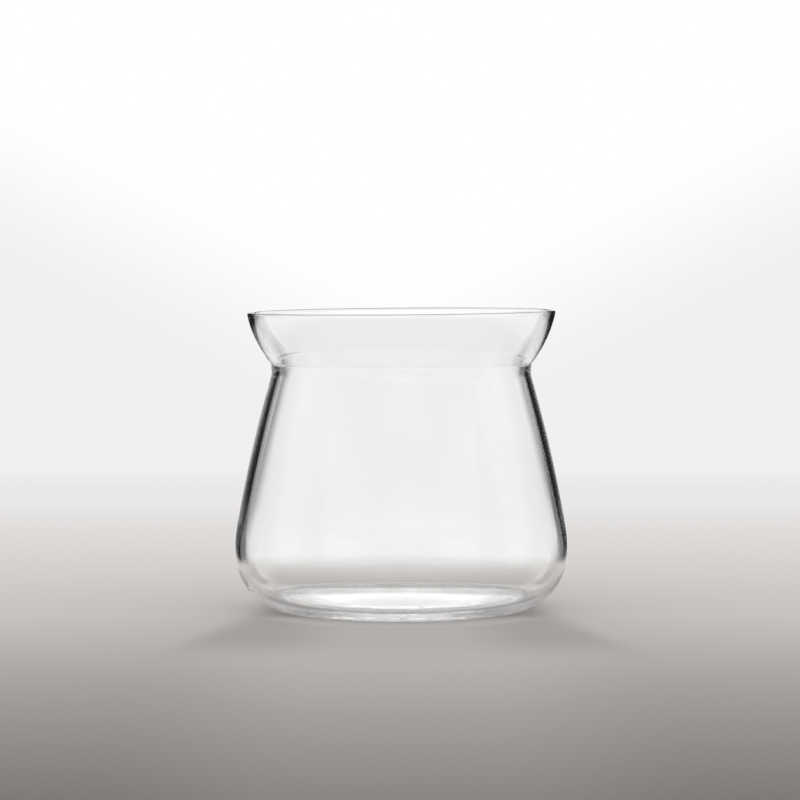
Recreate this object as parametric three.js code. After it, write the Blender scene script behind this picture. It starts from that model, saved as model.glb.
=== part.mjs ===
import * as THREE from 'three';

// A clear espresso cup, blown in one piece: a low belly, sides that lean in to a neck,
// and above a crease a flared collar that ends in a rounded lip. Millimetres, +Z up, the
// origin is the middle of the ring that the cup stands on.

// Outside sizes
const HEIGHT = 60;
const RIM_DIAMETER = 61.4;
const NECK_DIAMETER = 52.2;
const BELLY_DIAMETER = 66.8;
const COLLAR_HEIGHT = 12.5;
const BELLY_HEIGHT = 12.3;

// Thickness of the glass: least where the bottom corner was stretched most in blowing
const BASE_THICKNESS = 1.8;
const CORNER_WALL = 0.95;
const BELLY_WALL = 1.15;
const BODY_WALL = 1.35;
const RIM_WALL = 1;

// Curves of the outline: radii and widths, and leans from the vertical in degrees
const CORNER_WIDTH = 10;
const SHOULDER_RADIUS = 24;
const SHOULDER_LEAN = 9.4;
const SIDE_LEAN = 16;
const WAIST_RADIUS = 9;
const CREASE_LEAN = 10;
const CREASE_RADIUS = 0.8;
const COLLAR_LEAN = 40;
const RIM_LEAN = 2;

// Base: a flat ring round a shallow hollow underneath, and a floor that rises to its middle
const FOOT_RING_WIDTH = 3;
const HOLLOW_DEPTH = 0.6;
const FLOOR_RISE = 0.5;

// Facets round the cup, and steps along each stretch of the outline
const FACETS = 56;
const DOME_STEPS = 4;
const HALF_CORNER_STEPS = 4;
const SHOULDER_STEPS = 2;
const SIDE_STEPS = 5;
const WAIST_STEPS = 4;
const CREASE_STEPS = 3;
const COLLAR_STEPS = 5;
const LIP_STEPS = 6;

// The glass: clear, colourless and smooth
const GLASS_COLOUR = 0xeef3f2;
const GLASS_ROUGHNESS = 0.02;
const GLASS_OPACITY = 0.3;

const bellyRadius = BELLY_DIAMETER / 2;
const neckRadius = NECK_DIAMETER / 2;
const neckHeight = HEIGHT - COLLAR_HEIGHT;
const footRadius = bellyRadius - CORNER_WIDTH;
const hollowRadius = footRadius - FOOT_RING_WIDTH;

// Direction of a line that climbs the outline and leans outwards by an angle
function climb(lean) {
  return new THREE.Vector2(Math.sin(lean), Math.cos(lean));
}

// A curve like an arc that leaves one point and reaches another at the given leans
function sweep(start, startLean, end, endLean) {
  const bend = Math.cos((endLean - startLean) / 4);
  const pull = start.distanceTo(end) / (3 * bend * bend);
  const first = climb(startLean).multiplyScalar(pull).add(start);
  const second = climb(endLean).multiplyScalar(-pull).add(end);
  return new THREE.CubicBezierCurve(start, first, second, end);
}

// Part of an ellipse, from one angle to another; it runs clockwise if the angle falls
function arc(centre, width, height, from, to) {
  return new THREE.EllipseCurve(centre.x, centre.y, width, height, from, to, to < from);
}

// Outer outline from the foot to the lip, as stretches that run on smoothly, each with the
// thickness of the glass at its lower and upper end
function outsideWall() {
  const shoulderLean = THREE.MathUtils.degToRad(SHOULDER_LEAN);
  const sideLean = THREE.MathUtils.degToRad(SIDE_LEAN);
  const creaseLean = THREE.MathUtils.degToRad(CREASE_LEAN);
  const collarLean = THREE.MathUtils.degToRad(COLLAR_LEAN);
  const rimLean = THREE.MathUtils.degToRad(RIM_LEAN);
  const quarter = Math.PI / 2;
  const eighth = Math.PI / 4;
  const cornerCentre = new THREE.Vector2(footRadius, BELLY_HEIGHT);
  const shoulderCentre = new THREE.Vector2(bellyRadius - SHOULDER_RADIUS, BELLY_HEIGHT);
  const waistCentre = new THREE.Vector2(neckRadius + WAIST_RADIUS, neckHeight);
  const lowCorner = arc(cornerCentre, CORNER_WIDTH, BELLY_HEIGHT, -quarter, -eighth);
  const highCorner = arc(cornerCentre, CORNER_WIDTH, BELLY_HEIGHT, -eighth, 0);
  const shoulder = arc(shoulderCentre, SHOULDER_RADIUS, SHOULDER_RADIUS, 0, shoulderLean);
  const waistTop = Math.PI - creaseLean;
  const waist = arc(waistCentre, WAIST_RADIUS, WAIST_RADIUS, Math.PI + sideLean, waistTop);
  const creaseCentre = new THREE.Vector2(Math.cos(creaseLean), -Math.sin(creaseLean));
  creaseCentre.multiplyScalar(CREASE_RADIUS).add(waist.getPoint(1));
  const crease = arc(creaseCentre, CREASE_RADIUS, CREASE_RADIUS, waistTop, Math.PI - collarLean);
  const rimOutside = new THREE.Vector2(Math.cos(rimLean), -Math.sin(rimLean));
  rimOutside.multiplyScalar(RIM_WALL / 2).add(lipCentre());
  const side = sweep(shoulder.getPoint(1), -shoulderLean, waist.getPoint(0), -sideLean);
  const collar = sweep(crease.getPoint(1), collarLean, rimOutside, rimLean);
  return [
    { curve: lowCorner, steps: HALF_CORNER_STEPS, low: BASE_THICKNESS, high: CORNER_WALL },
    { curve: highCorner, steps: HALF_CORNER_STEPS, low: CORNER_WALL, high: BELLY_WALL },
    { curve: shoulder, steps: SHOULDER_STEPS, low: BELLY_WALL, high: BODY_WALL },
    { curve: side, steps: SIDE_STEPS, low: BODY_WALL, high: BODY_WALL },
    { curve: waist, steps: WAIST_STEPS, low: BODY_WALL, high: BODY_WALL },
    { curve: crease, steps: CREASE_STEPS, low: BODY_WALL, high: BODY_WALL },
    { curve: collar, steps: COLLAR_STEPS, low: BODY_WALL, high: RIM_WALL },
  ];
}

function lipCentre() {
  return new THREE.Vector2((RIM_DIAMETER - RIM_WALL) / 2, HEIGHT - RIM_WALL / 2);
}

// Points of the outer wall, each with the point of the inner wall that lies straight across
// the glass from it
function wallPoints() {
  const points = [];
  for (const { curve, steps, low, high } of outsideWall()) {
    const first = points.length === 0 ? 0 : 1;
    for (let i = first; i <= steps; i += 1) {
      const share = i / steps;
      const outside = curve.getPoint(share);
      const along = curve.getTangent(share);
      const across = new THREE.Vector2(-along.y, along.x);
      const inside = across.multiplyScalar(THREE.MathUtils.lerp(low, high, share)).add(outside);
      points.push({ outside, inside });
    }
  }
  return points;
}

// A shallow dome from the middle to a level edge, which the points leave out
function domePoints(radius, edgeHeight, rise) {
  const points = [];
  for (let i = 0; i < DOME_STEPS; i += 1) {
    const share = i / DOME_STEPS;
    const fall = 1 - share * share;
    points.push(new THREE.Vector2(radius * share, edgeHeight + rise * fall * fall));
  }
  return points;
}

// The whole outline of the glass, from the middle of the underside to the middle of the floor
function outline() {
  const rimLean = THREE.MathUtils.degToRad(RIM_LEAN);
  const lip = arc(lipCentre(), RIM_WALL / 2, RIM_WALL / 2, -rimLean, Math.PI - rimLean);
  const wall = wallPoints();
  return [
    ...domePoints(hollowRadius, 0, HOLLOW_DEPTH),
    new THREE.Vector2(hollowRadius, 0),
    ...wall.map(({ outside }) => outside),
    ...lip.getPoints(LIP_STEPS).slice(1, -1),
    ...wall.map(({ inside }) => inside).reverse(),
    ...domePoints(footRadius, BASE_THICKNESS, FLOOR_RISE).reverse(),
  ];
}

// The cup: the outline turned about the upright axis
function glassCup() {
  const geometry = new THREE.LatheGeometry(outline(), FACETS);
  geometry.rotateX(Math.PI / 2);
  const glass = new THREE.MeshStandardMaterial({
    color: GLASS_COLOUR,
    roughness: GLASS_ROUGHNESS,
    metalness: 0,
    transparent: true,
    opacity: GLASS_OPACITY,
  });
  const mesh = new THREE.Mesh(geometry, glass);
  mesh.name = 'glass_cup';
  return mesh;
}

const cup = new THREE.Group();
cup.add(glassCup());

export default cup;
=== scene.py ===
# %% [markdown]
# # A thin blown glass cup in bright-field light
#
# This lesson dresses one imported part, a clear espresso cup, for a photograph. The part is
# loaded as a fixed frame in metres, and the drawn cup stands exactly where its solid stands.
# We keep the solid's box from the very start, and take the cup's height and belly from it.

# %% Load the frame
import math

import bpy
import numpy as np
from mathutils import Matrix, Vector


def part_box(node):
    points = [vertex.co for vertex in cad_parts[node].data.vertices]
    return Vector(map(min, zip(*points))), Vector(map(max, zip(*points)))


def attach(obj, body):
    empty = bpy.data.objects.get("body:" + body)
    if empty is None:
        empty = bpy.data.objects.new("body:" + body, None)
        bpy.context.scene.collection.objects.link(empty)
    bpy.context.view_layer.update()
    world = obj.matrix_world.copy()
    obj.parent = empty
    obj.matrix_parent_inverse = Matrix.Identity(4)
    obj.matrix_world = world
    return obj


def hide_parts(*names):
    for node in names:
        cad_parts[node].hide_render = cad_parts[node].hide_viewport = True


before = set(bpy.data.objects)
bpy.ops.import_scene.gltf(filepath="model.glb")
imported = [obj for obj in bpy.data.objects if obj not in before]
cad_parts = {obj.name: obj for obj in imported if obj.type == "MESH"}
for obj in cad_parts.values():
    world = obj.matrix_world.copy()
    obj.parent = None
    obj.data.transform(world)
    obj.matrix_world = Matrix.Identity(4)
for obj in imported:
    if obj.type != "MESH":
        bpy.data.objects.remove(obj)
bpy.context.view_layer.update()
cup_low, cup_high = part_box("glass_cup")

# %% [markdown]
# ## The outline of the glass
#
# A blown cup is a body of revolution, so its whole shape is one outline turned about the
# upright axis. The outline is drawn in millimetres as pairs of radius and height. From the
# foot it runs round the bottom corner to the belly, up the leaning side and through the waist
# to a short, straight neck. There it breaks into the collar at a fine crease, and the collar
# curves out and turns nearly upright at the lip. The belly is drawn a tenth of a millimetre
# wider all round than the solid, which brings its edge onto the edge in the photograph.

# %% Heights and radii
MM = 0.001
belly_ease = 0.12
height = (cup_high[2] - cup_low[2]) / MM
belly_radius = (cup_high[0] - cup_low[0]) / MM / 2 + belly_ease
rim_radius = 31.0
neck_radius = 26.1
collar_height = 12.25
belly_height = 12.5
corner_width = 10.0
foot_radius = belly_radius - corner_width
neck_height = height - collar_height
print("height", round(height, 2), "mm, belly radius", round(belly_radius, 2), "mm")

# %% Curves and leans along the outline
shoulder_radius = 24.0
waist_radius = 3.5
crease_radius = 0.7
crease_rise = 1.4
lip_turn_radius = 6.0
shoulder_lean = math.radians(9.4)
side_lean = math.radians(16.0)
crease_lean = math.radians(4.0)
collar_lean = math.radians(38.0)
lip_lean = math.radians(14.0)
rim_lean = math.radians(6.0)
print("the crease turns by", round(math.degrees(collar_lean - crease_lean)), "degrees")


# %% Lines that the outline is made of
def climb(lean):
    """The direction that climbs the outline and leans outwards by an angle."""
    return np.array([math.sin(lean), math.cos(lean)])


def outward(lean):
    """The direction straight out of a wall that leans outwards by an angle."""
    return np.array([math.cos(lean), -math.sin(lean)])


def ellipse_arc(centre, width, rise, start, end, count):
    """Points at centre + (width cos a, rise sin a), for angles a even from start to end."""
    angle = np.linspace(start, end, count)
    across = centre[0] + width * np.cos(angle)
    return np.column_stack([across, centre[1] + rise * np.sin(angle)])


def sweep(start, start_lean, end, end_lean, count):
    """A cubic curve that leaves one point and reaches another at given leans.

    Its two inner control points lie along those leans, at a third of the chord divided by
    the squared cosine of a quarter of the turn, which makes it run very nearly as an arc.
    """
    chord = np.linalg.norm(end - start)
    pull = chord / (3 * math.cos((end_lean - start_lean) / 4) ** 2)
    first = start + climb(start_lean) * pull
    second = end - climb(end_lean) * pull
    t = np.linspace(0, 1, count)[:, None]
    early = (1 - t) ** 3 * start + 3 * (1 - t) ** 2 * t * first
    return early + 3 * (1 - t) * t ** 2 * second + t ** 3 * end


print("the side climbs towards", climb(-side_lean).round(3).tolist())

# %% [markdown]
# ## How thick the glass is
#
# The dark edge that glass shows against a bright ground is as wide as its wall, so the
# thickness can be read off a photograph. Blowing stretches the bottom corner most, and the
# wall there is thinner than in the side, while the base stays thick. The side is drawn a
# tenth of a millimetre thicker than in the solid and the lip a little finer, because their
# dark edges then come out as wide as in the photograph. The thickness is a sum of smooth
# bells along the wall and not a table with corners, because a sudden change of slope inside
# the glass would bend the light into false lines.

# %% Thickness along the wall
base_thickness = 1.8
corner_wall = 0.95
body_wall = 1.45
rim_wall = 0.85
thin_spot = 14.0
thin_reach = 10.0
base_reach = 3.6
rim_reach = 9.0


def bell(distance, reach):
    """One at distance nought, falling off as exp of minus the squared distance over the reach."""
    return np.exp(-(distance / reach) ** 2)


def wall_thickness(path, length):
    """Thickness at a path length from the foot: the body's wall, less a bell at the corner,
    plus a bell at the foot that makes up the base, and a bell at the lip."""
    thinning = (body_wall - corner_wall) * bell(path - thin_spot, thin_reach)
    missing = base_thickness - body_wall + (body_wall - corner_wall) * bell(thin_spot, thin_reach)
    thickness = body_wall - thinning + missing * bell(path, base_reach)
    return thickness + (rim_wall - body_wall) * bell(length - path, rim_reach)


print("wall, mm:", corner_wall, "at the corner,", body_wall, "in the side,", rim_wall, "at the lip")

# %% [markdown]
# ## The outside, stretch by stretch
#
# Each stretch starts in the direction in which the last one ended, because a kink in glass
# shows at once as a hard line in the refraction. Only the crease turns sharply, as it does on
# the real cup, and even there a small arc leads round. A tight arc gets many points for its
# length, so that the turn from point to point stays small everywhere.

# %% Belly: the bottom corner and the shoulder
corner_points = 44
shoulder_points = 12


def belly_line():
    """A quarter of an ellipse round the bottom corner, up to the widest place, then an arc that
    turns in to the lean at which the side begins."""
    size = (corner_width, belly_height)
    corner = ellipse_arc((foot_radius, belly_height), *size, -math.pi / 2, 0, corner_points)
    centre = (belly_radius - shoulder_radius, belly_height)
    size = (shoulder_radius, shoulder_radius)
    shoulder = ellipse_arc(centre, *size, 0, shoulder_lean, shoulder_points)
    return np.vstack([corner, shoulder[1:]])


belly = belly_line()
print("belly:", len(belly), "points, widest radius", round(belly[:, 0].max(), 2), "mm")

# %% Neck: the waist, a straight band and the crease
waist_points = 16
band_points = 8
crease_points = 16


def neck_line():
    """An arc from the lean of the side to that of the band, the straight band up to the height
    of the crease, and a tight arc out to the lean of the collar."""
    centre = (neck_radius + waist_radius, neck_height)
    turn = (math.pi + side_lean, math.pi - crease_lean)
    waist = ellipse_arc(centre, waist_radius, waist_radius, *turn, waist_points)
    band_rise = neck_height + crease_rise - waist[-1, 1]
    band_end = waist[-1] + climb(crease_lean) * band_rise / math.cos(crease_lean)
    band = sweep(waist[-1], crease_lean, band_end, crease_lean, band_points)
    centre = band_end + outward(crease_lean) * crease_radius
    turn = (math.pi - crease_lean, math.pi - collar_lean)
    crease = ellipse_arc(centre, crease_radius, crease_radius, *turn, crease_points)
    return np.vstack([waist, band[1:], crease[1:]])


neck = neck_line()
print("neck:", len(neck), "points, narrowest radius", round(neck[:, 0].min(), 2), "mm")

# %% Lip: the arc that turns the collar nearly upright
lip_centre = np.array([rim_radius - rim_wall / 2, height - rim_wall / 2])
turn_points = 7


def lip_line():
    """An arc from the lean of the collar's end to that of the rim, ending on the lip's round."""
    reach = lip_turn_radius - rim_wall / 2
    centre = lip_centre - outward(rim_lean) * reach
    size = (lip_turn_radius, lip_turn_radius)
    return ellipse_arc(centre, *size, -lip_lean, -rim_lean, turn_points)


lip_bend = lip_line()
print("lip:", len(lip_bend), "points, widest radius", round(lip_bend[:, 0].max(), 2), "mm")

# %% The side and the collar, and the whole outside
side_points = 34
collar_points = 28
side = sweep(belly[-1], -shoulder_lean, neck[0], -side_lean, side_points)
collar = sweep(neck[-1], collar_lean, lip_bend[0], lip_lean, collar_points)
outside = np.vstack([belly, side[1:], neck[1:], collar[1:], lip_bend[1:]])
print("outside:", len(outside), "points")

# %% [markdown]
# ## Two faces that agree at the crease
#
# At the neck the wall turns outwards by more than fifty degrees within a few millimetres. If
# the inside simply followed at an equal distance, a level ray would meet two faces with
# different slopes there and the neck would show as a pair of glaring rings. In the real cup
# the crease is one fine line. So the inside is drawn where a level ray, bent by the outside,
# comes out through a face of the same slope.

# %% How the wall must change with its lean
glass_index = 1.47
widest_lean = 1.3
lean_count = 1301


def level_share(lean):
    """How the thickness must change with the lean, so that the faces agree for level rays.

    A ray bent to the angle a from the normal has turned by the lean less a. Its way through
    the glass must shrink by the tangent of a for each unit of that turn.
    """
    leans = np.linspace(-widest_lean, widest_lean, lean_count)
    bent = np.arcsin(np.sin(leans) / glass_index)
    shrink = np.tan((bent[1:] + bent[:-1]) / 2) * np.diff(leans - bent)
    share = np.exp(-np.concatenate([[0], np.cumsum(shrink)])) * np.cos(bent)
    return np.interp(lean, leans, share) / np.interp(-side_lean, leans, share)


print("wall of the collar against the side's:", round(float(level_share(collar_lean)), 2))

# %% The inside
level_start = 30.0
level_end = 42.0
lip_reach = 3.0


def smooth_share(value, start, end):
    """Nought up to the start, one from the end, and 3 s squared less 2 s cubed in between."""
    share = np.clip((value - start) / (end - start), 0, 1)
    return share * share * (3 - 2 * share)


def inner_wall(outer):
    """Each outer point, moved across the glass by the thickness there, and from the middle of
    the side upwards also down along the wall, by the thickness times the tangent of the bent
    ray's angle."""
    steps = np.linalg.norm(np.diff(outer, axis=0), axis=1)
    path = np.concatenate([[0], np.cumsum(steps)])
    along = np.gradient(outer, path, axis=0)
    along[0] = (1, 0)
    along[-1] = climb(rim_lean)
    along /= np.linalg.norm(along, axis=1)[:, None]
    across = np.column_stack([-along[:, 1], along[:, 0]])
    lean = np.arctan2(along[:, 0], along[:, 1])
    agree = smooth_share(outer[:, 1], level_start, level_end)
    agree = agree * (1 - bell(path[-1] - path, lip_reach))
    thickness = wall_thickness(path, path[-1]) * (1 + (level_share(lean) - 1) * agree)
    slide = agree * thickness * np.tan(np.arcsin(np.sin(lean) / glass_index))
    return outer + across * thickness[:, None] - along * slide[:, None]


inside_wall = inner_wall(outside)
across_glass = np.linalg.norm(inside_wall - outside, axis=1)
print("glass, mm:", round(across_glass[0], 2), "at the foot, least", round(across_glass.min(), 2))

# %% [markdown]
# ## Closing the outline
#
# Under the base such a cup has a flat ring to stand on and a shallow hollow inside the ring,
# so that it can't rock. The floor rises a little to its middle, where the glass gathered
# last. A photograph from the side can't show either, so both are usual sizes and kept small.

# %% The closed outline
foot_ring_width = 3.0
hollow_depth = 0.6
floor_rise = 0.5
dome_points = 20
ring_points = 9
lip_rows = 20


def dome(radius, rise, count):
    """A dome that leaves its edge level: the rise times the square of one minus the squared
    share of the radius, from the middle out."""
    share = np.linspace(0, 1, count)
    return np.column_stack([radius * share, rise * (1 - share ** 2) ** 2])


def glass_outline(outer, inner):
    """The outline from the middle of the underside, round the lip, to the middle of the floor."""
    hollow_radius = foot_radius - foot_ring_width
    hollow = dome(hollow_radius, hollow_depth, dome_points)
    ring_radii = np.linspace(hollow_radius, foot_radius, ring_points)
    ring = np.column_stack([ring_radii, np.zeros(ring_points)])
    lip_turn = (-rim_lean, math.pi - rim_lean)
    lip = ellipse_arc(lip_centre, rim_wall / 2, rim_wall / 2, *lip_turn, lip_rows)
    floor = dome(inner[0, 0], floor_rise, dome_points)[::-1] + (0, inner[0, 1])
    return np.vstack([hollow, ring[1:], outer[1:], lip[1:-1], inner[::-1], floor[1:]])


outline = glass_outline(outside, inside_wall)
lip_top = int(np.argmax(outline[:, 1]))
print("outline points:", len(outline))

# %% [markdown]
# ## Small irregularities
#
# A hand-finished cup is not perfectly true, and the eye knows it. The lip dips a little to one
# side and is finer in front than behind, one wall is thicker than the wall across from it, and
# the foot is slightly rippled where it sat in the mould, which breaks the light along the
# lower edge. All of this is a few tenths of a millimetre.

# %% What is uneven
lip_dip = 0.24
bore_offset = 0.11
lip_offset = 0.2
lip_offset_reach = 4.0
ripple_depth = 0.36
ripple_radius = 21.6
ripple_reach = 2.0
ripple_counts = np.array([11, 19, 34, 53, 71, 90])
steepest_slant = 2.5
draw = np.random.default_rng(7)
ripple_phases = draw.uniform(0, 2 * math.pi, len(ripple_counts))
ripple_slants = draw.uniform(-steepest_slant, steepest_slant, len(ripple_counts))
print("ripples round the foot:", ripple_counts.tolist())


# %% Moving the points of a true cup
def ripple(radius, angle, z):
    """How far the underside is lifted: a mean of waves round the axis, each slanting with the
    radius, under a bell near the middle of the standing ring."""
    turns = ripple_counts[:, None] * angle + ripple_slants[:, None] * radius
    waves = 0.5 + 0.5 * np.sin(turns + ripple_phases[:, None]).mean(axis=0)
    low = np.clip(1 - z / hollow_depth, 0, 1)
    return ripple_depth * waves * bell(radius - ripple_radius, ripple_reach) * low


def uneven(points, inside):
    """Moves the points of the true cup a little.

    The lip is raised on one side and lowered on the other in proportion to x, more and more
    from the neck up. The inside is shifted a little along x, and near the lip also along y.
    """
    x, y, z = points.T
    dip = lip_dip * x / rim_radius * smooth_share(z, neck_height, height)
    forward = lip_offset * inside * bell(height - z, lip_offset_reach)
    lift = ripple(np.hypot(x, y), np.arctan2(y, x), z)
    return np.column_stack([x + bore_offset * inside, y - forward, z + dip + lift])


lip_end = uneven(np.array([[rim_radius, 0, height]]), 0)
print("the lip's high side, mm:", lip_end.round(2).tolist())

# %% [markdown]
# ## Turning the outline into a cup
#
# On the real cup the turning is done by the glassmaker's hand or by the mould. Here the
# outline becomes a grid: one row for each of its points, one column for each direction round
# the axis. The two ends of the outline lie on the axis, so each becomes one point with a fan
# of triangles, and the surface is closed.

# %% Grids and objects
def grid_faces(rows, columns):
    """Quads between neighbouring rows of a grid that closes round, row by row."""
    here = np.arange(columns)
    after = (here + 1) % columns
    start = np.arange(rows - 1)[:, None] * columns
    corners = [start + here, start + after, start + columns + after, start + columns + here]
    return np.stack(corners, axis=-1).reshape(-1, 4)


def new_object(name, points, faces):
    """An object at the origin with a mesh of these points, in metres, and faces."""
    mesh = bpy.data.meshes.new(name)
    mesh.from_pydata(points.tolist(), [], faces)
    made = bpy.data.objects.new(name, mesh)
    bpy.context.scene.collection.objects.link(made)
    return made


print("faces of a grid of 3 rows and 4 columns:", len(grid_faces(3, 4)))

# %% The cup's mesh
columns = 256


def turned(name, line):
    """An object whose grid point (i, j) is the line's point i turned by j of the columns' steps.

    A share that climbs from nought to one over the lip tells the outside from the inside.
    """
    angle = np.arange(columns) * 2 * math.pi / columns
    radius = line[1:-1, 0][:, None]
    rows = len(radius)
    rise = np.repeat(line[1:-1, 1][:, None], columns, axis=1)
    grid = np.stack([radius * np.cos(angle), radius * np.sin(angle), rise], axis=-1)
    ends = np.array([[0, 0, line[0, 1]], [0, 0, line[-1, 1]]])
    over_lip = np.clip((np.arange(1, rows + 1) - lip_top) / lip_rows + 0.5, 0, 1)
    inside = np.append(np.repeat(over_lip, columns), [0, 1])
    points = uneven(np.vstack([grid.reshape(-1, 3), ends]), inside) * MM
    here = np.arange(columns)
    after = (here + 1) % columns
    last = (rows - 1) * columns
    bottom = np.stack([np.full(columns, rows * columns), after, here], axis=-1)
    top = np.stack([last + here, last + after, np.full(columns, rows * columns + 1)], axis=-1)
    faces = grid_faces(rows, columns).tolist() + bottom.tolist() + top.tolist()
    return new_object(name, points, faces)


cup = turned("blown_glass_cup", outline)
cup.data.shade_smooth()
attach(cup, "root")
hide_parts("glass_cup")
print("faces of the cup:", len(cup.data.polygons))

# %% [markdown]
# ## Nodes in few words
#
# A material is a network of nodes. It could be wired by hand in the editor, but a script can be
# read and run again. A few small helpers keep the networks below readable: one makes a node,
# one mixes two shaders, and the others calculate or turn a value into a smooth step.

# %% Making and joining nodes
def add(tree, kind, **settings):
    """A new node of that kind, with its settings and its inputs set by name."""
    node = tree.nodes.new(kind)
    for name, value in settings.items():
        if name in node.inputs:
            node.inputs[name].default_value = value
        else:
            setattr(node, name, value)
    return node


def mixed(tree, share, first, second):
    """A mix of two shaders: the first where the share is nought, the second where it is one."""
    node = add(tree, "ShaderNodeMixShader")
    for socket, value in zip(node.inputs, (share, first, second)):
        tree.links.new(value, socket)
    return node.outputs["Shader"]


# %% Sums and steps
def calculate(tree, operation, first, second=None):
    """A math node on two values, each of them a number or an output of another node."""
    node = add(tree, "ShaderNodeMath", operation=operation)
    for socket, value in zip(node.inputs, (first, second)):
        if value is None:
            continue
        if isinstance(value, (int, float)):
            socket.default_value = value
        else:
            tree.links.new(value, socket)
    return node.outputs[0]


def times(tree, first, *others):
    """The product of several values."""
    for other in others:
        first = calculate(tree, "MULTIPLY", first, other)
    return first


def step_up(tree, value, start, end, low=0.0, high=1.0):
    """A smooth step of a value, from low at its start to high at its end."""
    node = add(tree, "ShaderNodeMapRange", interpolation_type="SMOOTHSTEP")
    node.inputs["From Min"].default_value = start
    node.inputs["From Max"].default_value = end
    node.inputs["To Min"].default_value = low
    node.inputs["To Max"].default_value = high
    tree.links.new(value, node.inputs["Value"])
    return node.outputs["Result"]


def step_down(tree, value, start, end, high=1.0):
    """A smooth step of a value, from high at its start to nought at its end."""
    return step_up(tree, value, start, end, high, 0.0)


# %% [markdown]
# ## Clear glass
#
# The glass is colourless, with a refractive index of about 1.47. Nothing in it scatters, so
# transmission is full and the roughness next to nothing. What keeps it from looking like a
# computed solid is the faint waviness of a blown surface, long and shallow along the wall,
# and a trace of unevenness in the polish. Both come from noise on Object coordinates.

# %% The glass material
glass_colour = (0.998, 1.0, 1.0, 1)
wave_scale = 55
wave_stretch = (1, 1, 0.35)
wave_depth = 0.0004
wave_strength = 0.04
polish_scale = 260
polish_range = (0.35, 0.75)
dullest_polish = 0.012


def clear_glass():
    """A glass shader with wave noise as its bump and finer noise as its trace of roughness."""
    material = bpy.data.materials.new("clear_glass")
    material.use_nodes = True
    tree = material.node_tree
    shader = tree.nodes["Principled BSDF"]
    shader.inputs["Base Color"].default_value = glass_colour
    shader.inputs["Transmission Weight"].default_value = 1
    shader.inputs["IOR"].default_value = glass_index
    place = add(tree, "ShaderNodeTexCoord")
    stretch = add(tree, "ShaderNodeMapping", Scale=wave_stretch)
    tree.links.new(place.outputs["Object"], stretch.inputs["Vector"])
    waves = add(tree, "ShaderNodeTexNoise", Scale=wave_scale, Detail=1, Roughness=0.4)
    tree.links.new(stretch.outputs["Vector"], waves.inputs["Vector"])
    bump = add(tree, "ShaderNodeBump", Strength=wave_strength, Distance=wave_depth)
    tree.links.new(waves.outputs["Fac"], bump.inputs["Height"])
    tree.links.new(bump.outputs["Normal"], shader.inputs["Normal"])
    polish = add(tree, "ShaderNodeTexNoise", Scale=polish_scale, Detail=2)
    tree.links.new(place.outputs["Object"], polish.inputs["Vector"])
    rough = add(tree, "ShaderNodeMapRange")
    rough.inputs["From Min"].default_value = polish_range[0]
    rough.inputs["From Max"].default_value = polish_range[1]
    rough.inputs["To Min"].default_value = 0.0
    rough.inputs["To Max"].default_value = dullest_polish
    tree.links.new(polish.outputs["Fac"], rough.inputs["Value"])
    tree.links.new(rough.outputs["Result"], shader.inputs["Roughness"])
    return material


cup.data.materials.append(clear_glass())
print("glass nodes:", len(cup.data.materials[0].node_tree.nodes))

# %% [markdown]
# ## The table
#
# The cup stands on a pale, warm grey table that is brighter towards the back, where the light
# comes from. Part of that comes from the soft box, and part is painted shade that darkens the
# table's colour towards the front. It ends softly behind the cup. A flat disc with a diffuse
# surface is enough. It lies a hair under the cup, so that the two never share a plane.

# %% The table top
table_reach = 0.32
table_rings = 12
table_sides = 96
table_sink = 0.02
first_ring = 0.02
disc_reach = 1.5


def table_top():
    """Rings round the axis, joined to a disc, with radii that grow as the square of a share."""
    angle = np.arange(table_sides) * 2 * math.pi / table_sides
    share = np.linspace(first_ring, 1, table_rings)[:, None]
    radius = share ** 2 * table_reach * disc_reach
    flat = np.full((table_rings, table_sides), -table_sink * MM)
    grid = np.stack([radius * np.cos(angle), radius * np.sin(angle), flat], axis=-1)
    faces = grid_faces(table_rings, table_sides)[:, ::-1].tolist()
    return new_object("table", grid.reshape(-1, 3), faces + [list(range(table_sides))])


table = table_top()
print("table reach:", table_reach, "m")

# %% [markdown]
# ## Light that the glass throws on the table
#
# Bent light draws on the table round a glass: a soft dark wing on each side of the foot, a
# paler patch in front, and a bright hem where the foot gathers light. A path tracer finds
# such light only by luck, so it is written into the table's colour. Each of the three moves
# the place on the ramp of tones a little. In front of the picture, which only other views show,
# the table is pale again. Places are in metres, to the side and from front to back.

# %% Where the thrown light lies
light_patch = 0.045
patch_side = (0.012, 0.045)
patch_along = (-0.09, -0.05)
wing_shade = 0.09
wing_inside = (0.008, 0.026)
wing_outside = (0.0225, 0.0305)
wing_taper = 0.23
wing_front = (-0.085, -0.040)
wing_back = (-0.002, 0.014)
foot_light = 0.24
foot_hem = (0.025, 0.036)
hem_along = (-0.022, -0.012)
apron_light = 0.35
apron_along = (-0.33, -0.25)


def thrown_light(tree, aside, along, distance):
    """The patch plus the hem less the wings, plus a paler apron in front of the picture."""
    patch = step_down(tree, aside, *patch_side, light_patch)
    patch = times(tree, patch, step_down(tree, along, *patch_along))
    spread = calculate(tree, "ADD", aside, times(tree, along, wing_taper))
    wing = step_up(tree, aside, *wing_inside, 0, wing_shade)
    wing = times(tree, wing, step_down(tree, spread, *wing_outside))
    wing = times(tree, wing, step_up(tree, along, *wing_front))
    wing = times(tree, wing, step_down(tree, along, *wing_back))
    hem = step_down(tree, distance, *foot_hem, foot_light)
    hem = times(tree, hem, step_down(tree, along, *hem_along))
    apron = step_down(tree, along, *apron_along, apron_light)
    light = calculate(tree, "SUBTRACT", patch, wing)
    return calculate(tree, "ADD", calculate(tree, "ADD", light, hem), apron)


print("shadow wings from", wing_front[0], "to", wing_back[1], "m, front to back")
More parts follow.
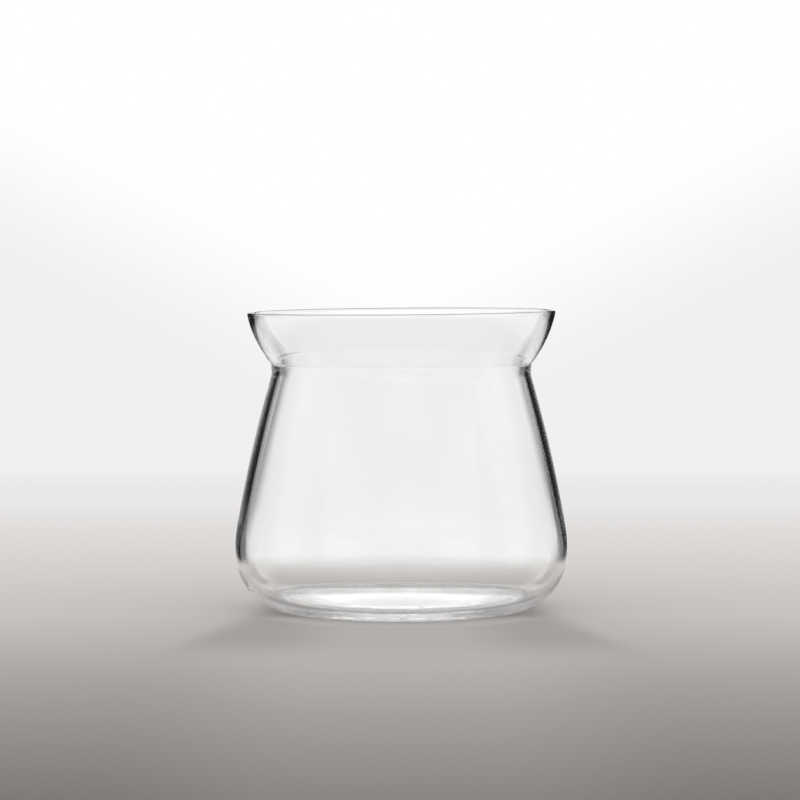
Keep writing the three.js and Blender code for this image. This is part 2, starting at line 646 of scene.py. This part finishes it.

# %% The table's tones from front to back, darkened towards the front by painted shade
table_front = -0.24
table_back = 0.41
# Painted shade: the tones darken towards the front, on top of the soft box's own falloff.
painted_falloff_tones = [
    (0.0, (0.205, 0.188, 0.179, 1)),
    (0.19, (0.4015, 0.3747, 0.3595, 1)),
    (0.35, (0.61, 0.572, 0.55, 1)),
    (0.78, (0.80, 0.79, 0.78, 1)),
    (1.0, (0.64, 0.635, 0.63, 1)),
]


def table_colour_with_painted_light(tree, aside, along, distance):
    """The tone at the share of the way from front to back, darker in front by painted shade, and
    moved by the thrown light that is painted into it.
    """
    way = add(tree, "ShaderNodeMapRange")
    way.inputs["From Min"].default_value = table_front
    way.inputs["From Max"].default_value = table_back
    tree.links.new(along, way.inputs["Value"])
    light = thrown_light(tree, aside, along, distance)
    ramp = add(tree, "ShaderNodeValToRGB")
    stops = ramp.color_ramp.elements
    for place, tone in painted_falloff_tones[1:-1]:
        stops.new(place)
    for stop, (place, tone) in zip(stops, painted_falloff_tones):
        stop.position, stop.color = place, tone
    tree.links.new(calculate(tree, "ADD", way.outputs["Result"], light), ramp.inputs["Fac"])
    return ramp.outputs["Color"]


print("tones of the table:", len(painted_falloff_tones), "from", table_front, "to", table_back, "m")

# %% [markdown]
# ## What only the glass sees of the table
#
# In a studio the table is short, stands before the bright ground, and lies in the shade of
# the black cards close beside the cup. The glass bends all this into view, though the camera
# itself sees a longer table with a soft end. So rays that come off or out of the glass, which
# Light Path tells apart, meet a table that is shaded in front of the cup and under its foot,
# and that ends early behind and beside it.

# %% Shade and early end, for the glass
card_shade = 0.5
shade_round = (0.060, 0.085)
shade_side = (0.014, 0.030)
shade_along = (-0.016, -0.005)
foot_shade = 0.25
under_foot = (0.025, 0.031)
end_round = (0.070, 0.095)
end_side = (0.040, 0.065)
end_taper = 0.2
end_along = (0.03, 0.165)


def glass_shade(tree, aside, along, distance):
    """The dark share: in front of the cup on both sides, or under its foot."""
    shade = step_down(tree, distance, *shade_round, card_shade)
    shade = times(tree, shade, step_up(tree, aside, *shade_side))
    shade = times(tree, shade, step_down(tree, along, *shade_along))
    return calculate(tree, "MAXIMUM", shade, step_down(tree, distance, *under_foot, foot_shade))


def early_end(tree, aside, along, distance):
    """The share that is left out: far aside of a line that widens to the back, or far behind."""
    line = calculate(tree, "SUBTRACT", aside, times(tree, along, end_taper))
    end = times(tree, step_up(tree, distance, *end_round), step_up(tree, line, *end_side))
    return calculate(tree, "MAXIMUM", end, step_up(tree, along, *end_along))


def ray_kinds(tree):
    """Two shares: one for rays from the camera, one for rays that come off or out of glass."""
    paths = add(tree, "ShaderNodeLightPath")
    glossy, through = paths.outputs["Is Glossy Ray"], paths.outputs["Is Transmission Ray"]
    return paths.outputs["Is Camera Ray"], calculate(tree, "MAXIMUM", glossy, through)


print("for the glass the table ends", end_along[1], "m behind the cup's axis")

# %% The table's finish
rear_fade = (0.75 * table_reach, 1.3 * table_reach)
round_fade = (1.2 * table_reach, 1.48 * table_reach)


def table_finish():
    """A diffuse surface that fades out at its edges, shaded and shortened for the glass."""
    material = bpy.data.materials.new("table")
    material.use_nodes = True
    tree = material.node_tree
    tree.nodes.clear()
    place = add(tree, "ShaderNodeTexCoord")
    parts = add(tree, "ShaderNodeSeparateXYZ")
    tree.links.new(place.outputs["Object"], parts.inputs["Vector"])
    length = add(tree, "ShaderNodeVectorMath", operation="LENGTH")
    tree.links.new(place.outputs["Object"], length.inputs[0])
    along, distance = parts.outputs["Y"], length.outputs["Value"]
    where = (calculate(tree, "ABSOLUTE", parts.outputs["X"]), along, distance)
    surface = add(tree, "ShaderNodeBsdfDiffuse")
    tree.links.new(table_colour_with_painted_light(tree, *where), surface.inputs["Color"])
    shaded = add(tree, "ShaderNodeBsdfDiffuse", Color=(0, 0, 0, 1)).outputs["BSDF"]
    nothing = add(tree, "ShaderNodeBsdfTransparent").outputs["BSDF"]
    in_glass = ray_kinds(tree)[1]
    dark = times(tree, in_glass, glass_shade(tree, *where))
    missing = times(tree, in_glass, early_end(tree, *where))
    rear = step_up(tree, along, *rear_fade)
    fade = calculate(tree, "MAXIMUM", rear, step_up(tree, distance, *round_fade))
    top = mixed(tree, dark, surface.outputs["BSDF"], shaded)
    top = mixed(tree, fade, mixed(tree, missing, top, nothing), nothing)
    output = add(tree, "ShaderNodeOutputMaterial")
    tree.links.new(top, output.inputs["Surface"])
    return material


table.data.materials.append(table_finish())
print("table nodes:", len(table.data.materials[0].node_tree.nodes))

# %% [markdown]
# ## Black cards
#
# Clear glass is photographed against a bright ground, with black cards left and right just
# out of the picture. The ground shines through the glass, and the edges of the glass bend the
# dark cards into view, which draws the outline. Here the cards are part of the world, and only
# rays from the glass see them. They repeat round the cup, one between each two views, so that
# it has its edges from other sides too. They are darkest beside the main view, where the first
# card on each side also reaches further round. Their tops slant up, away from the view, so that
# they draw an even band in the leaning wall. All angles are in degrees.

# %% The cards
card_period = 45.0
card_middle = 11.5
card_edge = (8.5, 14.5)
first_start = (20.6, 22.3)
first_end = (45.8, 51.6)
card_foot = (-14.0, -10.0)
card_top = (9.0, 15.0)
card_slope = 1.2
card_dark = 0.98
side_card_dark = 0.3
side_start = (40.0, 50.0)
side_end = (120.0, 140.0)


def directions(tree):
    """The turn from straight ahead and the rise above level of each direction, in degrees."""
    place = add(tree, "ShaderNodeTexCoord")
    parts = add(tree, "ShaderNodeSeparateXYZ")
    tree.links.new(place.outputs["Generated"], parts.inputs["Vector"])
    turn = calculate(tree, "ARCTAN2", parts.outputs["X"], parts.outputs["Y"])
    rise = calculate(tree, "ARCSINE", parts.outputs["Z"])
    return calculate(tree, "DEGREES", turn), calculate(tree, "DEGREES", rise)


def black_cards(tree, turn, aside, rise):
    """How much a card covers: its share across, times its share from foot to top, times its
    strength in that direction."""
    off_view = calculate(tree, "PINGPONG", turn, card_period / 2)
    first = times(tree, step_up(tree, aside, *first_start), step_down(tree, aside, *first_end))
    across = calculate(tree, "MAXIMUM", step_up(tree, off_view, *card_edge), first)
    slant = times(tree, calculate(tree, "SUBTRACT", off_view, card_middle), card_slope)
    under = step_down(tree, calculate(tree, "SUBTRACT", rise, slant), *card_top)
    strength = step_up(tree, aside, *side_start, card_dark, side_card_dark)
    strength = times(tree, strength, step_down(tree, aside, *side_end))
    return times(tree, across, under, step_up(tree, rise, *card_foot), strength)


print("a card every", card_period, "degrees, up to", side_end[1], "degrees aside")

# %% [markdown]
# ## The bright ground and what stands round it
#
# The backdrop is white, and pale grey low down. The edge between them climbs to both sides, as
# on a sheet that is lit in the middle. The camera sees just that. Rays from the glass also see a
# brighter field above the horizon, which the foot mirrors as its white lens, the darker room
# behind the camera and above, and the dim floor far below, which the lip bends into view.
# Everything else is lit evenly, at one plain strength from all sides.

# %% The backdrop and the room
ground = 0.87
ground_edge = (-4.2, -0.7)
ground_slope = 0.5
glow = 1.05
side_glow = 1.0
glow_side = (3.0, 9.0)
high_glow = 2.0
high_from = (5.0, 10.0)
high_to = (15.0, 20.0)
high_side = (9.0, 17.0)
wide_glow = 0.4
wide_from = (13.0, 18.0)
wide_side = (28.0, 42.0)
room_light = 0.75
room_side = (140.0, 165.0)
floor_light = 0.4
floor_rises = (-29.0, -21.0)
ceiling_light = 0.46
ceiling_rises = (20.0, 33.0)


def backdrop(tree, aside, rise):
    """Grey below and white above a soft edge, which climbs as the direction turns aside."""
    tent = calculate(tree, "SUBTRACT", rise, times(tree, aside, ground_slope))
    return step_up(tree, tent, *ground_edge, ground, 1.0)


def room_in_glass(tree, aside, rise):
    """The glow ahead plus the brighter field above it, times the shares of the dim room."""
    high = step_up(tree, rise, *high_from, 0, high_glow - glow)
    high = times(tree, high, step_down(tree, aside, *high_side), step_down(tree, rise, *high_to))
    wide = step_up(tree, rise, *wide_from, 0, wide_glow)
    wide = times(tree, wide, step_down(tree, aside, *wide_side))
    field = calculate(tree, "MAXIMUM", high, wide)
    field = calculate(tree, "ADD", field, step_up(tree, aside, *glow_side, glow, side_glow))
    behind = step_up(tree, aside, *room_side, 1, room_light)
    below = step_up(tree, rise, *floor_rises, floor_light, 1)
    return times(tree, field, behind, below, step_up(tree, rise, *ceiling_rises, 1, ceiling_light))


print("backdrop from", ground, "to 1, brightest field in the glass", high_glow)

# %% The world
even_light = 0.9


def white_light(tree, strength):
    """White light whose strength is a number or an output of another node."""
    light = add(tree, "ShaderNodeBackground", Color=(1, 1, 1, 1))
    if isinstance(strength, float):
        light.inputs["Strength"].default_value = strength
    else:
        tree.links.new(strength, light.inputs["Strength"])
    return light.outputs["Background"]


def bright_field():
    """The backdrop for the camera, the room with its cards for the glass, and even light."""
    world = bpy.data.worlds.new("bright_field")
    world.use_nodes = True
    tree = world.node_tree
    tree.nodes.clear()
    turn, rise = directions(tree)
    aside = calculate(tree, "ABSOLUTE", turn)
    sheet = backdrop(tree, aside, rise)
    uncovered = calculate(tree, "SUBTRACT", 1.0, black_cards(tree, turn, aside, rise))
    room = times(tree, room_in_glass(tree, aside, rise), sheet, uncovered)
    from_camera, in_glass = ray_kinds(tree)
    lit = mixed(tree, in_glass, white_light(tree, even_light), white_light(tree, room))
    shown = mixed(tree, from_camera, lit, white_light(tree, sheet))
    output = add(tree, "ShaderNodeOutputWorld")
    tree.links.new(shown, output.inputs["Surface"])
    return world


scene = bpy.context.scene
scene.world = bright_field()
print("world nodes:", len(scene.world.node_tree.nodes))

# %% [markdown]
# ## The soft box
#
# A large soft box stands behind and above the cup, as for most photographs of glass. It
# brightens the table and gives it a soft shadow towards the camera. Its own picture in the
# foot would be one white blot, so rays from the glass don't see it.

# %% The lamp
box_place = np.array([0, 1.10, 0.50])
box_aim = np.array([0, 0, 0.03])
box_width = 1.2
box_height = 0.8
box_power = 3.2


def soft_box():
    """An area lamp at its place, tipped down until it faces its aim."""
    lamp = bpy.data.lights.new("soft_box", "AREA")
    lamp.shape = "RECTANGLE"
    lamp.size = box_width
    lamp.size_y = box_height
    lamp.energy = box_power
    box = bpy.data.objects.new("soft_box", lamp)
    box.location = box_place
    toward = box_aim - box_place
    box.rotation_euler = (math.atan2(np.hypot(toward[0], toward[1]), -toward[2]), 0, math.pi)
    box.visible_camera = False
    box.visible_glossy = False
    box.visible_transmission = False
    scene.collection.objects.link(box)
    return box


lamp_box = soft_box()
print("soft box at", [round(v, 2) for v in lamp_box.location])

# %% [markdown]
# ## Light paths long enough for glass
#
# In the foot of the cup a ray is thrown from face to face many times before it gets out. If
# it is cut off after a dozen bounces, the foot turns black, though the real one is clear. So
# the scene lets a ray go on for longer than the default, and nothing blurs the reflections on
# its way.

# %% Bounces
glass_bounces = 64
scene.cycles.max_bounces = glass_bounces
scene.cycles.transmission_bounces = glass_bounces
scene.cycles.glossy_bounces = glass_bounces
scene.cycles.blur_glossy = 0
scene.view_settings.view_transform = "Standard"
print("bounces:", glass_bounces)

# %% [markdown]
# ## The camera
#
# The camera stands a little above the lip and looks slightly down, with a long lens, so the
# lip is seen almost edge on and the base as a flat ellipse. Its distance and its focal
# length belong together: they are given in the pixels of an image of 800 by 800.

# %% Camera
image_size = 800
focal_pixels = 3300
axis_offset_pixels = -1.3
camera_distance = 0.663
camera_height = 0.075
camera_tilt = 2.845
camera_data = bpy.data.cameras.new("camera")
camera_data.sensor_width = 36
camera_data.lens = camera_data.sensor_width * focal_pixels / image_size
camera_data.shift_x = axis_offset_pixels / image_size
camera = bpy.data.objects.new("camera", camera_data)
camera.location = (0, -camera_distance, camera_height)
camera.rotation_euler = (math.radians(90 - camera_tilt), 0, 0)
scene.collection.objects.link(camera)
scene.camera = camera
print("lens:", round(camera_data.lens, 1), "mm")
